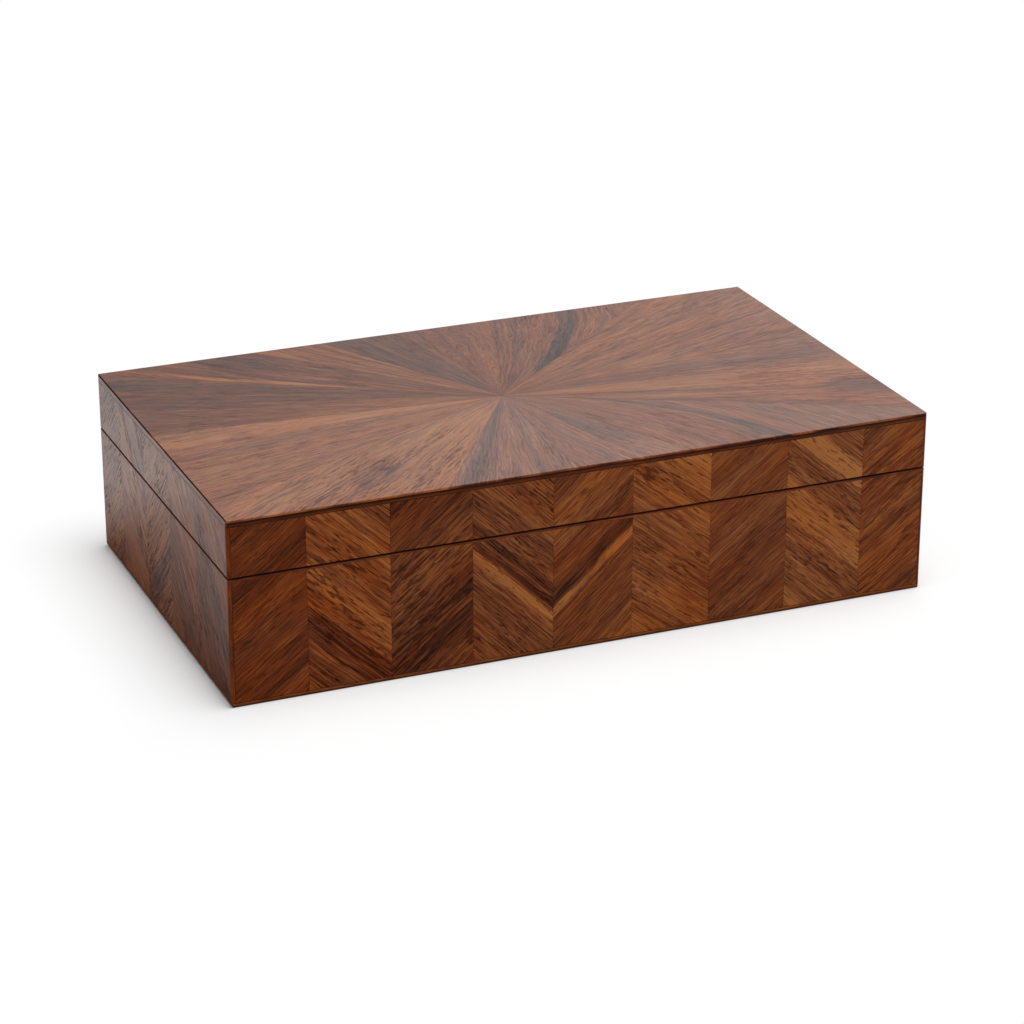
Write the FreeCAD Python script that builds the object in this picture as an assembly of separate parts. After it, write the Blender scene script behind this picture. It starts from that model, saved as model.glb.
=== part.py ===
import FreeCAD, Part
import math
import os

os.makedirs("parts", exist_ok=True)

# Closed box, in millimetres: origin at the centre of the underside, front at -Y
width = 305.0
depth = 178.0
height = 79.6
seam_height = 55.3
seam_gap = 0.4

# Carcass boards, panels and the splines in the mitres
board = 9.0
panel = 5.0
panel_rebate = 4.5
spline_width = 7.0
spline_thickness = 1.5
spline_from_inside = 5.5

# Veneer, stringing and banding
veneer = 0.8
stringing = 1.6
foot_bead = 2.4
foot_round = 1.6
edge_band = 2.0
rim_band = 0.8
top_round = 0.5
corner_round = 1.5
seam_easing = 0.4

# Side leaves, laid on each face from its left end as seen from outside
end_leaf = 32.0
leaf_pitch = 34.75
narrowest_leaf = 20.0

# Sunburst on the lid: where the rays meet, and each ray's angle from the right, in degrees
burst_x = -2.6
burst_y = -2.6
burst_rays = [8, 41, 70, 93, 118, 149, 175, 205, 236, 268, 299, 333]
ray_reach = 400.0

# Felt inside, and baize below in a shallow recess
baize = 1.0
baize_proud = 0.2
lining = 1.0
lining_margin = 0.4

# Stop hinges
hinge_from_centre = 92.0
hinge_length = 38.0
leaf_thickness = 1.6
leaf_depth = 8.0
knuckle_count = 3
knuckle_radius = 2.2
knuckle_gap = 0.2
barrel_clearance = 0.3
pin_radius = 1.0
pin_fixed_clearance = 0.02
pin_running_clearance = 0.06
stop_angle = 95.0
stop_margin = 0.5
rib_height = 1.4
rib_sweep = 27.0

# Hinge screws
screw_radius = 1.1
screw_head_radius = 1.9
screw_length = 10.0
screw_slot = 0.5
screw_spacing = 24.0
screw_from_back = 4.4

# Places that follow from the sizes above
half_width = width / 2
half_depth = depth / 2
core_x = half_width - veneer
core_y = half_depth - veneer
inner_x = core_x - board
inner_y = core_y - board
rebate_x = inner_x + panel_rebate
rebate_y = inner_y + panel_rebate
base_bottom = baize_proud
floor_level = baize + panel
base_top = seam_height - seam_gap / 2
lid_bottom = seam_height + seam_gap / 2
veneer_bottom = base_bottom + foot_bead
base_veneer_top = base_top - rim_band
lid_core_top = height - veneer
lid_veneer_top = lid_core_top - edge_band
hinge_y = half_depth + knuckle_radius + barrel_clearance
hinge_z = seam_height
side_names = ["front", "right", "back", "left"]


def block(x0, x1, y0, y1, z0, z1):
    return Part.makeBox(x1 - x0, y1 - y0, z1 - z0, FreeCAD.Vector(x0, y0, z0))


def prism(outline, z0, z1):
    corners = [FreeCAD.Vector(x, y, z0) for x, y in outline]
    face = Part.Face(Part.makePolygon(corners + corners[:1]))
    return face.extrude(FreeCAD.Vector(0, 0, z1 - z0))


def cut_all(shape, tools):
    for tool in tools:
        shape = shape.cut(tool)
    return shape


def save(name, shapes):
    shape = shapes[0] if len(shapes) == 1 else Part.makeCompound(shapes)
    shape.exportStep("parts/" + name + ".step")


# Four strips round a rectangle, mitred at the corners: front, right, back, left
def mitred_frame(half_x, half_y, thickness, z0, z1):
    inside_x = half_x - thickness
    inside_y = half_y - thickness
    corner_signs = [(-1, -1), (1, -1), (1, 1), (-1, 1)]
    outer = [(sx * half_x, sy * half_y) for sx, sy in corner_signs]
    inner = [(sx * inside_x, sy * inside_y) for sx, sy in corner_signs]
    strips = []
    for near in range(4):
        far = (near + 1) % 4
        strips.append(prism([outer[near], outer[far], inner[far], inner[near]], z0, z1))
    return strips


# Outer form of the base or the lid: upright corners and one edge rounded, the edge at the seam eased
def edges_along(body, direction, level=None):
    chosen = []
    for edge in body.Edges:
        run = edge.Vertexes[1].Point - edge.Vertexes[0].Point
        along = abs(run.dot(direction)) > 0.99 * run.Length
        if along and (level is None or abs(edge.CenterOfMass.z - level) < 0.01):
            chosen.append(edge)
    return chosen


def outer_form(z0, z1, round_level, edge_round, seam_level):
    bar = block(-half_width, half_width, -half_depth, half_depth, z0, z1)
    form = bar.makeFillet(corner_round, edges_along(bar, FreeCAD.Vector(0, 0, 1)))
    for direction in (FreeCAD.Vector(1, 0, 0), FreeCAD.Vector(0, 1, 0)):
        shaped = bar.makeFillet(edge_round, edges_along(bar, direction, round_level))
        shaped = shaped.makeChamfer(seam_easing, edges_along(shaped, direction, seam_level))
        form = form.common(shaped)
    return form


# Square strings let into the upright corners
def corner_strings(z0, z1):
    strings = []
    for sx in (-1, 1):
        for sy in (-1, 1):
            x_ends = sorted([sx * half_width, sx * (half_width - stringing)])
            y_ends = sorted([sy * half_depth, sy * (half_depth - stringing)])
            strings.append(block(*x_ends, *y_ends, z0, z1))
    return strings


# Splines that cross the mitres of the boards, upright in slots
def corner_splines(z0, z1):
    splines = []
    for sx in (-1, 1):
        for sy in (-1, 1):
            spline = block(-spline_width / 2, spline_width / 2,
                           -spline_thickness / 2, spline_thickness / 2, z0, z1)
            spline.rotate(FreeCAD.Vector(0, 0, 0), FreeCAD.Vector(0, 0, 1), -45 * sx * sy)
            inset = spline_from_inside / math.sqrt(2)
            spline.translate(FreeCAD.Vector(sx * (inner_x + inset), sy * (inner_y + inset), 0))
            splines.append(spline)
    return splines


# Veneer leaves of one side, between the strings
def leaf_joints(span):
    joints = [stringing]
    position = end_leaf
    while position < span - narrowest_leaf:
        joints.append(position)
        position += leaf_pitch
    joints.append(span - stringing)
    return joints


def side_leaves(side, z0, z1):
    span = width if side in ("front", "back") else depth
    joints = leaf_joints(span)
    leaves = []
    for start, end in zip(joints, joints[1:]):
        if side == "front":
            leaf = block(start - half_width, end - half_width, -half_depth, -core_y, z0, z1)
        elif side == "right":
            leaf = block(core_x, half_width, start - half_depth, end - half_depth, z0, z1)
        elif side == "back":
            leaf = block(half_width - end, half_width - start, core_y, half_depth, z0, z1)
        else:
            leaf = block(-half_width, -core_x, half_depth - end, half_depth - start, z0, z1)
        leaves.append(leaf)
    return leaves


# Wedge leaves of the sunburst, cut from one sheet along the rays
def sunburst_leaves(sheet, z0, z1):
    leaves = []
    for index, start in enumerate(burst_rays):
        end = burst_rays[(index + 1) % len(burst_rays)]
        if end < start:
            end += 360
        outline = [(burst_x, burst_y)]
        for angle in (start, (start + end) / 2, end):
            reach_x = burst_x + ray_reach * math.cos(math.radians(angle))
            reach_y = burst_y + ray_reach * math.sin(math.radians(angle))
            outline.append((reach_x, reach_y))
        leaves.append(sheet.common(prism(outline, z0, z1)))
    return leaves


# Hinge: a sector of a ring about the pin, measured from straight back, upwards
def ring_sector(x0, x1, inside, outside, start_angle, sweep):
    section = [(x0, inside), (x1, inside), (x1, outside), (x0, outside)]
    corners = [FreeCAD.Vector(x, hinge_y + out, hinge_z) for x, out in section]
    face = Part.Face(Part.makePolygon(corners + corners[:1]))
    pin_line = FreeCAD.Vector(0, hinge_y, hinge_z)
    face.rotate(pin_line, FreeCAD.Vector(1, 0, 0), start_angle)
    return face.revolve(pin_line, FreeCAD.Vector(1, 0, 0), sweep)


def barrel(x0, x1, radius):
    start = FreeCAD.Vector(x0, hinge_y, hinge_z)
    return Part.makeCylinder(radius, x1 - x0, start, FreeCAD.Vector(1, 0, 0))


def knuckle_spans(centre_x):
    length = (hinge_length - (knuckle_count - 1) * knuckle_gap) / knuckle_count
    start = centre_x - hinge_length / 2
    return [(start + i * (length + knuckle_gap), start + i * (length + knuckle_gap) + length)
            for i in range(knuckle_count)]


def hinge_plate(centre_x, z0, z1):
    half = hinge_length / 2
    return block(centre_x - half, centre_x + half, half_depth - leaf_depth, half_depth, z0, z1)


# A leaf with its knuckles, and a stop rib that meets the other leaf's rib when the lid is open
def hinge_leaf(centre_x, z0, z1, first_knuckle, rib_start, bore_clearance):
    leaf = hinge_plate(centre_x, z0, z1)
    rib_inside = knuckle_radius + barrel_clearance
    web_inside = (knuckle_radius + pin_radius) / 2
    own_spans = knuckle_spans(centre_x)[first_knuckle::2]
    for x0, x1 in own_spans:
        leaf = leaf.fuse(block(x0, x1, half_depth, hinge_y, z0, z1))
        leaf = leaf.fuse(barrel(x0, x1, knuckle_radius))
        leaf = leaf.fuse(ring_sector(x0, x1, web_inside, rib_inside, rib_start, rib_sweep))
    half = hinge_length / 2
    rib = ring_sector(centre_x - half, centre_x + half, rib_inside, rib_inside + rib_height,
                      rib_start, rib_sweep)
    leaf = leaf.fuse(rib)
    bore = barrel(centre_x - half, centre_x + half, pin_radius + bore_clearance)
    return leaf.cut(bore).removeSplitter()


# Countersunk wood screw: the head fills the leaf, and the shank goes up or down from it
def screw_body(x, level, way):
    y = half_depth - screw_from_back
    profile = [(0, 0), (screw_head_radius, 0), (screw_radius, leaf_thickness),
               (screw_radius, screw_length), (0, screw_length)]
    corners = [FreeCAD.Vector(x + r, y, level + way * along) for r, along in profile]
    face = Part.Face(Part.makePolygon(corners + corners[:1]))
    return face.revolve(FreeCAD.Vector(x, y, level), FreeCAD.Vector(0, 0, 1), 360)


def slotted(screw, x, level, way):
    y = half_depth - screw_from_back
    ends = sorted([level, level + way * screw_slot])
    slot = block(x - screw_head_radius, x + screw_head_radius,
                 y - screw_slot / 2, y + screw_slot / 2, *ends)
    return screw.cut(slot)


hinge_centres = [-hinge_from_centre, hinge_from_centre]
screw_places = []
for centre in hinge_centres:
    screw_places.append(centre - screw_spacing / 2)
    screw_places.append(centre + screw_spacing / 2)

base_screws = [screw_body(x, base_top, -1) for x in screw_places]
lid_screws = [screw_body(x, lid_bottom, 1) for x in screw_places]
base_plates = [hinge_plate(x, base_top - leaf_thickness, base_top) for x in hinge_centres]
lid_plates = [hinge_plate(x, lid_bottom, lid_bottom + leaf_thickness) for x in hinge_centres]

# Base carcass
base_form = outer_form(base_bottom, base_top, base_bottom, foot_round, base_top)
bottom_panel = block(-rebate_x, rebate_x, -rebate_y, rebate_y, baize, floor_level)
bottom_rebate = block(-rebate_x, rebate_x, -rebate_y, rebate_y, base_bottom, floor_level)
base_splines = corner_splines(floor_level, base_veneer_top)
base_strings = corner_strings(veneer_bottom, base_veneer_top)
bead_strips = mitred_frame(half_width, half_depth, foot_bead, base_bottom, veneer_bottom)
base_boards = mitred_frame(core_x, core_y, board, base_bottom, base_veneer_top)
base_cuts = [bottom_rebate] + bead_strips + base_strings + base_splines + base_plates + base_screws
for name, piece in zip(side_names, base_boards):
    save("base_" + name + "_board", [cut_all(piece, base_cuts)])
save("base_bottom_panel", [bottom_panel])
save("base_corner_splines", base_splines)

# Base veneer and edge strips
for name in side_names:
    leaves = side_leaves(name, veneer_bottom, base_veneer_top)
    save("base_" + name + "_veneer", [cut_all(leaf, base_plates) for leaf in leaves])
save("base_corner_stringing", [base_form.common(string) for string in base_strings])
save("base_foot_bead", [base_form.common(strip) for strip in bead_strips])
base_rim = mitred_frame(half_width, half_depth, veneer + board, base_veneer_top, base_top)
save("base_rim_banding", [cut_all(base_form.common(strip), base_plates) for strip in base_rim])

# Felt on the floor and baize below
save("base_floor_lining", [block(-inner_x + lining_margin, inner_x - lining_margin,
                                 -inner_y + lining_margin, inner_y - lining_margin,
                                 floor_level, floor_level + lining)])
save("underside_baize", [block(-rebate_x + lining_margin, rebate_x - lining_margin,
                               -rebate_y + lining_margin, rebate_y - lining_margin, 0, baize)])

# Lid carcass
lid_form = outer_form(lid_bottom, height, height, top_round, lid_bottom)
top_panel = block(-rebate_x, rebate_x, -rebate_y, rebate_y, lid_core_top - panel, lid_core_top)
lid_core_bottom = lid_bottom + rim_band
lid_splines = corner_splines(lid_core_bottom, lid_core_top - panel)
lid_strings = corner_strings(lid_bottom, lid_veneer_top)
edge_strips = mitred_frame(half_width, half_depth, stringing, lid_veneer_top, lid_core_top)
lid_boards = mitred_frame(core_x, core_y, board, lid_core_bottom, lid_core_top)
lid_cuts = [top_panel] + edge_strips + lid_strings + lid_splines + lid_plates + lid_screws
for name, piece in zip(side_names, lid_boards):
    save("lid_" + name + "_board", [cut_all(piece, lid_cuts)])
save("lid_top_panel", [top_panel])
save("lid_corner_splines", lid_splines)

# Lid veneer and edge strips
for name in side_names:
    leaves = side_leaves(name, lid_bottom, lid_veneer_top)
    save("lid_" + name + "_veneer", [cut_all(lid_form.common(leaf), lid_plates) for leaf in leaves])
save("lid_corner_stringing", [lid_form.common(string) for string in lid_strings])
save("lid_edge_banding", [lid_form.common(strip) for strip in edge_strips])
lid_rim = mitred_frame(core_x, core_y, board, lid_bottom, lid_core_bottom)
save("lid_rim_banding", [cut_all(strip, lid_strings + lid_plates) for strip in lid_rim])

# Sunburst veneer, one node for each leaf
top_sheet = lid_form.common(block(-half_width, half_width, -half_depth, half_depth, lid_core_top, height))
for number, leaf in enumerate(sunburst_leaves(top_sheet, lid_core_top, height), 1):
    save("sunburst_leaf_%02d" % number, [leaf])

# Felt under the top panel
ceiling_level = lid_core_top - panel
save("lid_ceiling_lining", [block(-inner_x + lining_margin, inner_x - lining_margin,
                                  -inner_y + lining_margin, inner_y - lining_margin,
                                  ceiling_level - lining, ceiling_level)])

# Hinges: the ribs stand half the stop angle below and above straight back
rib_offset = (stop_angle + stop_margin) / 2
for hand, centre in zip(("left", "right"), hinge_centres):
    base_leaf = hinge_leaf(centre, base_top - leaf_thickness, base_top, 0,
                           -rib_offset - rib_sweep, pin_fixed_clearance)
    lid_leaf = hinge_leaf(centre, lid_bottom, lid_bottom + leaf_thickness, 1,
                          rib_offset, pin_running_clearance)
    save(hand + "_hinge_base_leaf", [cut_all(base_leaf, base_screws)])
    save(hand + "_hinge_lid_leaf", [cut_all(lid_leaf, lid_screws)])
    save(hand + "_hinge_pin", [barrel(centre - hinge_length / 2, centre + hinge_length / 2, pin_radius)])
base_fixings = [slotted(body, x, base_top, -1) for body, x in zip(base_screws, screw_places)]
lid_fixings = [slotted(body, x, lid_bottom, 1) for body, x in zip(lid_screws, screw_places)]
save("hinge_base_screws", base_fixings)
save("hinge_lid_screws", lid_fixings)
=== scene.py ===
import math
import bmesh
import bpy
from mathutils import Matrix, Vector


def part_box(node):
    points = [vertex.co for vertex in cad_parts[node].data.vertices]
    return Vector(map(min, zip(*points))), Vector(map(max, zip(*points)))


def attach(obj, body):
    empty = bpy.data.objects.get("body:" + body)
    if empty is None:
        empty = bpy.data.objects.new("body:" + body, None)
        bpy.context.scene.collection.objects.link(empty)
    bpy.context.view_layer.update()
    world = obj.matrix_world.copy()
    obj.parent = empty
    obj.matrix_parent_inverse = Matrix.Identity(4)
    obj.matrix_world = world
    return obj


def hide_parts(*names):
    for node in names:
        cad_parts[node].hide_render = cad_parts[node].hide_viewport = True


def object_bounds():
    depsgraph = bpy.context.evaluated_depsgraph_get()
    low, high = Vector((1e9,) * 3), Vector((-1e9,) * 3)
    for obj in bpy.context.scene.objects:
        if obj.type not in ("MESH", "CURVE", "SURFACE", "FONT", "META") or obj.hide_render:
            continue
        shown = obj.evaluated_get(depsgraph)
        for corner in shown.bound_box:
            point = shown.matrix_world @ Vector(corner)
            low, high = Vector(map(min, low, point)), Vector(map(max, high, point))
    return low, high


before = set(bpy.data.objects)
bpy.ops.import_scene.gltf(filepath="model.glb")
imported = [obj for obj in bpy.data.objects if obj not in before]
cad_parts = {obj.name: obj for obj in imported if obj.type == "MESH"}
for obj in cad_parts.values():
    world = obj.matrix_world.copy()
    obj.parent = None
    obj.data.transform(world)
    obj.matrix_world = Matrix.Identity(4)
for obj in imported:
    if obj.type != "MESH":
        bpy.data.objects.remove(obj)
cadLow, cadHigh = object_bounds()
mm = 0.001
print("frame loaded:", len(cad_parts), "nodes")


# small helpers for node trees; a value is a constant or the output of another node
def connect(tree, sockets, values):
    for name, value in values.items():
        if isinstance(value, bpy.types.NodeSocket):
            tree.links.new(value, sockets[name])
        else:
            sockets[name].default_value = value


def put(tree, kind, values=None, **settings):
    node = tree.nodes.new("ShaderNode" + kind)
    for name, value in settings.items():
        setattr(node, name, value)
    connect(tree, node.inputs, values or {})
    return node


def calc(tree, operation, *values):
    return put(tree, "Math", dict(enumerate(values)), operation=operation).outputs[0]


def plus(tree, first, second):
    return calc(tree, "ADD", first, second)


def minus(tree, first, second):
    return calc(tree, "SUBTRACT", first, second)


def times(tree, first, second):
    return calc(tree, "MULTIPLY", first, second)


def distanceOf(tree, x, y):
    return calc(tree, "SQRT", plus(tree, times(tree, x, x), times(tree, y, y)))


def splitAxes(tree, vector):
    return put(tree, "SeparateXYZ", {"Vector": vector}).outputs


def joinAxes(tree, x, y, z):
    return put(tree, "CombineXYZ", {"X": x, "Y": y, "Z": z}).outputs[0]


def remap(tree, value, low, high, newLow=0.0, newHigh=1.0, smooth=False):
    node = put(tree, "MapRange", {"Value": value, "From Min": low, "From Max": high,
                                  "To Min": newLow, "To Max": newHigh})
    node.interpolation_type = "SMOOTHSTEP" if smooth else "LINEAR"
    return node.outputs["Result"]


# first where the mask is 0, second where it is 1
def between(tree, mask, first, second):
    return remap(tree, mask, 0.0, 1.0, first, second)


# a colour mix has its amount and two colours in sockets 0, 6 and 7
def blendColours(tree, amount, first, second, way="MIX"):
    return put(tree, "Mix", {0: amount, 6: first, 7: second}, data_type="RGBA", blend_type=way).outputs[2]


# noise stretched along the grain: features are 1/along by 1/across mm
def grainNoise(tree, vector, shape):
    along, across, shift, detail, roughness = shape
    stretch = put(tree, "Mapping", {"Vector": vector, "Location": (shift, shift, shift),
                                    "Scale": (along, across, 1.0)})
    noise = put(tree, "TexNoise", {"Vector": stretch.outputs[0], "Scale": 1.0, "Detail": detail,
                                   "Roughness": roughness})
    return noise.outputs["Fac"]


def evenNoise(tree, vector, shape):
    return minus(tree, grainNoise(tree, vector, shape), 0.5)


def newGroup(name, inputs, outputs):
    tree = bpy.data.node_groups.new(name, "ShaderNodeTree")
    for label, kind, value in inputs:
        socket = tree.interface.new_socket(label, in_out="INPUT", socket_type="NodeSocket" + kind)
        if value is not None:
            socket.default_value = value
    for label, kind in outputs:
        tree.interface.new_socket(label, in_out="OUTPUT", socket_type="NodeSocket" + kind)
    start = tree.nodes.new("NodeGroupInput")
    end = tree.nodes.new("NodeGroupOutput")
    return tree, start.outputs, end.inputs


def placeGroup(tree, group, values):
    return put(tree, "Group", values, node_tree=group).outputs


# sunburst leaves: place in the leaf becomes distance from the burst and degrees from the leaf's middle
fanShape = {"swirlFrom": 90.0, "grainFrom": 90.0, "grainSpread": 190.0}


def makeFanGroup():
    tree, given, out = newGroup("fanOut", [("Vector", "Vector", None), ("Half Angle", "Float", 15.0),
                                           ("Swirl", "Float", 0.0), ("Degree Width", "Float", 1.6)],
                                [("Vector", "Vector"), ("Grain", "Vector"), ("Edge", "Float")])
    part = splitAxes(tree, given["Vector"])
    distance = distanceOf(tree, part["X"], part["Y"])
    angle = calc(tree, "DEGREES", calc(tree, "ARCTAN2", part["Y"], part["X"]))
    toEdge = minus(tree, given["Half Angle"], calc(tree, "ABSOLUTE", angle))
    swirl = times(tree, minus(tree, distance, fanShape["swirlFrom"]), given["Swirl"])
    across = times(tree, minus(tree, angle, swirl), given["Degree Width"])
    spread = calc(tree, "DIVIDE", plus(tree, distance, fanShape["grainFrom"]), fanShape["grainSpread"])
    connect(tree, out, {"Vector": joinAxes(tree, distance, across, part["Z"]),
                        "Grain": joinAxes(tree, distance, times(tree, across, spread), part["Z"]),
                        "Edge": times(tree, calc(tree, "RADIANS", toEdge), distance)})
    return tree


# grain that wanders: slow bends, quick ripples and frayed edges move the place across the grain
# each noise has along, across, shift, detail and roughness
flowNoise = {"slow": (0.011, 0.022, 3.0, 1.0, 0.5), "quick": (0.075, 0.16, 11.0, 2.0, 0.5),
             "frayed": (0.05, 0.9, 17.0, 2.0, 0.6)}
flowFray = 1.4


def makeFlowGroup():
    tree, given, out = newGroup("grainFlow", [("Vector", "Vector", None), ("Seed", "Float", 0.0),
                                              ("Wander", "Float", 2.0), ("Ripple", "Float", 0.5)],
                                [("Vector", "Vector"), ("Across", "Float")])
    part = splitAxes(tree, given["Vector"])
    seeded = joinAxes(tree, part["X"], part["Y"], given["Seed"])
    slow, quick, frayed = [evenNoise(tree, seeded, shape) for shape in flowNoise.values()]
    bend = plus(tree, times(tree, slow, times(tree, given["Wander"], 2.0)),
                times(tree, quick, times(tree, given["Ripple"], 2.0)))
    across = plus(tree, part["Y"], bend)
    connect(tree, out, {"Vector": joinAxes(tree, part["X"], across, given["Seed"]),
                        "Across": plus(tree, across, times(tree, frayed, flowFray))})
    return tree


# a soft cloud of darker or lighter figure at one place on a leaf
patchShape = {"noise": (0.10, 0.35, 23.0, 3.0, 0.6), "raggedness": 1.4, "fade": (1.15, 0.45)}


def makePatchGroup():
    tree, given, out = newGroup("figurePatch", [("Vector", "Vector", None), ("Tone", "Float", 0.5),
                                                ("Place", "Vector", None), ("Reach", "Vector", None),
                                                ("Shift", "Float", 0.0)],
                                [("Tone", "Float")])
    apart = put(tree, "VectorMath", {0: given["Vector"], 1: given["Place"]}, operation="SUBTRACT").outputs[0]
    scaled = put(tree, "VectorMath", {0: apart, 1: given["Reach"]}, operation="DIVIDE").outputs[0]
    part = splitAxes(tree, scaled)
    ragged = times(tree, evenNoise(tree, given["Vector"], patchShape["noise"]), patchShape["raggedness"])
    away = plus(tree, distanceOf(tree, part["X"], part["Y"]), ragged)
    mask = remap(tree, away, *patchShape["fade"], smooth=True)
    connect(tree, out, {"Tone": plus(tree, given["Tone"], times(tree, mask, given["Shift"]))})
    return tree


# wood under satin varnish: figure lines, pores and a dark edge line, a joint line between leaves and painted
# shade at the seam and the foot
woodNoise = {"bands": (0.010, 0.22, 31.0, 2.0, 0.5), "lines": (0.022, 0.70, 47.0, 3.0, 0.65),
             "strands": (0.075, 1.7, 59.0, 2.0, 0.7), "fibres": (0.12, 3.0, 61.0, 1.0, 0.5),
             "blush": (0.020, 0.060, 37.0, 2.0, 0.5), "crowd": (0.035, 0.09, 67.0, 2.0, 0.5),
             "dashes": (0.18, 1.15, 71.0, 2.0, 0.55), "threads": (0.030, 1.7, 83.0, 1.0, 0.5),
             "sheen": (0.02, 0.05, 97.0, 2.0, 0.5)}
woodMix = {"lines": 0.50, "strands": 0.36, "strandRange": (0.38, 0.62), "fibres": 0.34,
           "darkToMid": (0.05, 0.42), "midToLight": (0.42, 0.95), "blush": 0.3, "blushRange": (0.35, 0.65),
           "coolTint": (0.97, 1.08, 1.55, 1), "redTint": (1.05, 0.80, 0.45, 1)}
woodPores = {"crowd": 0.5, "dashRange": (0.82, 0.90), "threadRange": (0.57, 0.66), "threadTones": (0.55, 0.20),
             "threadStrength": (0.35, 0.90), "tint": (0.34, 0.29, 0.28, 1)}
woodGlueAndShade = {"fade": (0.20, 0.04), "colour": (0.010, 0.004, 0.002, 1)}
woodFinish = {"dullness": 0.34, "sheen": 0.04, "sheenRange": (0.3, 0.7), "poreDullness": 0.14,
              "lineHeight": 0.5, "strandHeight": 0.25, "poreDepth": 0.7, "glueAndShadeDepth": 0.6,
              "poreMatt": 0.5, "strandGloss": 0.20}


def makeWoodGroup():
    tree, given, out = newGroup("woodSurface", [
        ("Vector", "Vector", None), ("Tone", "Float", 0.4), ("Edge", "Float", 10.0), ("Edge Dark", "Float", 0.4),
        ("Bands", "Float", 0.4), ("Lines", "Float", 1.0), ("Pores", "Float", 1.0), ("Redness", "Float", 0.5),
        ("Dark", "Color", (0.05, 0.02, 0.01, 1)), ("Mid", "Color", (0.17, 0.05, 0.015, 1)),
        ("Light", "Color", (0.4, 0.15, 0.05, 1)), ("Dullness", "Float", woodFinish["dullness"])],
        [("Color", "Color"), ("Roughness", "Float"), ("Height", "Float"), ("Gloss", "Float")])
    noise = {name: grainNoise(tree, given["Vector"], shape) for name, shape in woodNoise.items()}
    bands, lines, fibres = [minus(tree, noise[name], 0.5) for name in ("bands", "lines", "fibres")]
    strands = remap(tree, noise["strands"], *woodMix["strandRange"], -0.5, 0.5)
    figure = plus(tree, times(tree, lines, woodMix["lines"]), times(tree, strands, woodMix["strands"]))
    figure = plus(tree, figure, times(tree, fibres, woodMix["fibres"]))
    figure = plus(tree, times(tree, figure, given["Lines"]), times(tree, bands, given["Bands"]))
    tone = plus(tree, given["Tone"], figure)
    colour = blendColours(tree, remap(tree, tone, *woodMix["darkToMid"]), given["Dark"], given["Mid"])
    colour = blendColours(tree, remap(tree, tone, *woodMix["midToLight"]), colour, given["Light"])
    blush = remap(tree, noise["blush"], *woodMix["blushRange"], -woodMix["blush"], woodMix["blush"])
    tint = blendColours(tree, plus(tree, given["Redness"], blush), woodMix["coolTint"], woodMix["redTint"])
    colour = blendColours(tree, 1.0, colour, tint, "MULTIPLY")
    dashes = plus(tree, noise["dashes"], times(tree, noise["crowd"], woodPores["crowd"]))
    dashes = remap(tree, dashes, *woodPores["dashRange"])
    threads = times(tree, remap(tree, noise["threads"], *woodPores["threadRange"]),
                    remap(tree, tone, *woodPores["threadTones"], *woodPores["threadStrength"]))
    pores = times(tree, calc(tree, "MAXIMUM", dashes, threads), given["Pores"])
    poreColour = blendColours(tree, 1.0, colour, woodPores["tint"], "MULTIPLY")
    colour = blendColours(tree, pores, colour, poreColour)
    glueAndShade = times(tree, remap(tree, given["Edge"], *woodGlueAndShade["fade"]), given["Edge Dark"])
    colour = blendColours(tree, glueAndShade, colour, woodGlueAndShade["colour"])
    sheen = remap(tree, noise["sheen"], *woodFinish["sheenRange"], -woodFinish["sheen"], woodFinish["sheen"])
    rough = plus(tree, given["Dullness"], sheen)
    rough = plus(tree, rough, times(tree, pores, woodFinish["poreDullness"]))
    height = plus(tree, times(tree, lines, woodFinish["lineHeight"]),
                  times(tree, strands, woodFinish["strandHeight"]))
    height = minus(tree, height, times(tree, pores, woodFinish["poreDepth"]))
    height = minus(tree, height, times(tree, glueAndShade, woodFinish["glueAndShadeDepth"]))
    gloss = minus(tree, 1.0, calc(tree, "MAXIMUM", times(tree, pores, woodFinish["poreMatt"]), glueAndShade))
    gloss = plus(tree, gloss, times(tree, strands, woodFinish["strandGloss"]))
    connect(tree, out, {"Color": colour, "Roughness": rough, "Height": height, "Gloss": gloss})
    return tree


# the outline of the box: which side a place is nearest to, how far along it, and how deep behind its face
def makeStripGroup():
    tree, given, out = newGroup("mitredStrip", [("Vector", "Vector", None), ("Half Width", "Float", 152.5),
                                                ("Half Depth", "Float", 89.0)],
                                [("Vector", "Vector"), ("Depth", "Float"), ("Mitre", "Float")])
    part = splitAxes(tree, given["Vector"])
    beyondX = minus(tree, calc(tree, "ABSOLUTE", part["X"]), given["Half Width"])
    beyondY = minus(tree, calc(tree, "ABSOLUTE", part["Y"]), given["Half Depth"])
    onSide = calc(tree, "GREATER_THAN", beyondX, beyondY)
    along = plus(tree, times(tree, part["Y"], onSide), times(tree, part["X"], minus(tree, 1.0, onSide)))
    beyond = calc(tree, "MAXIMUM", beyondX, beyondY)
    apart = calc(tree, "ABSOLUTE", minus(tree, beyondX, beyondY))
    connect(tree, out, {"Vector": joinAxes(tree, along, plus(tree, part["Z"], beyond), onSide),
                        "Depth": times(tree, beyond, -1.0),
                        "Mitre": times(tree, apart, math.sqrt(0.5))})
    return tree


fanGroup = makeFanGroup()
flowGroup = makeFlowGroup()
patchGroup = makePatchGroup()
woodGroup = makeWoodGroup()
stripGroup = makeStripGroup()
print("shared effects ready")

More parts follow.
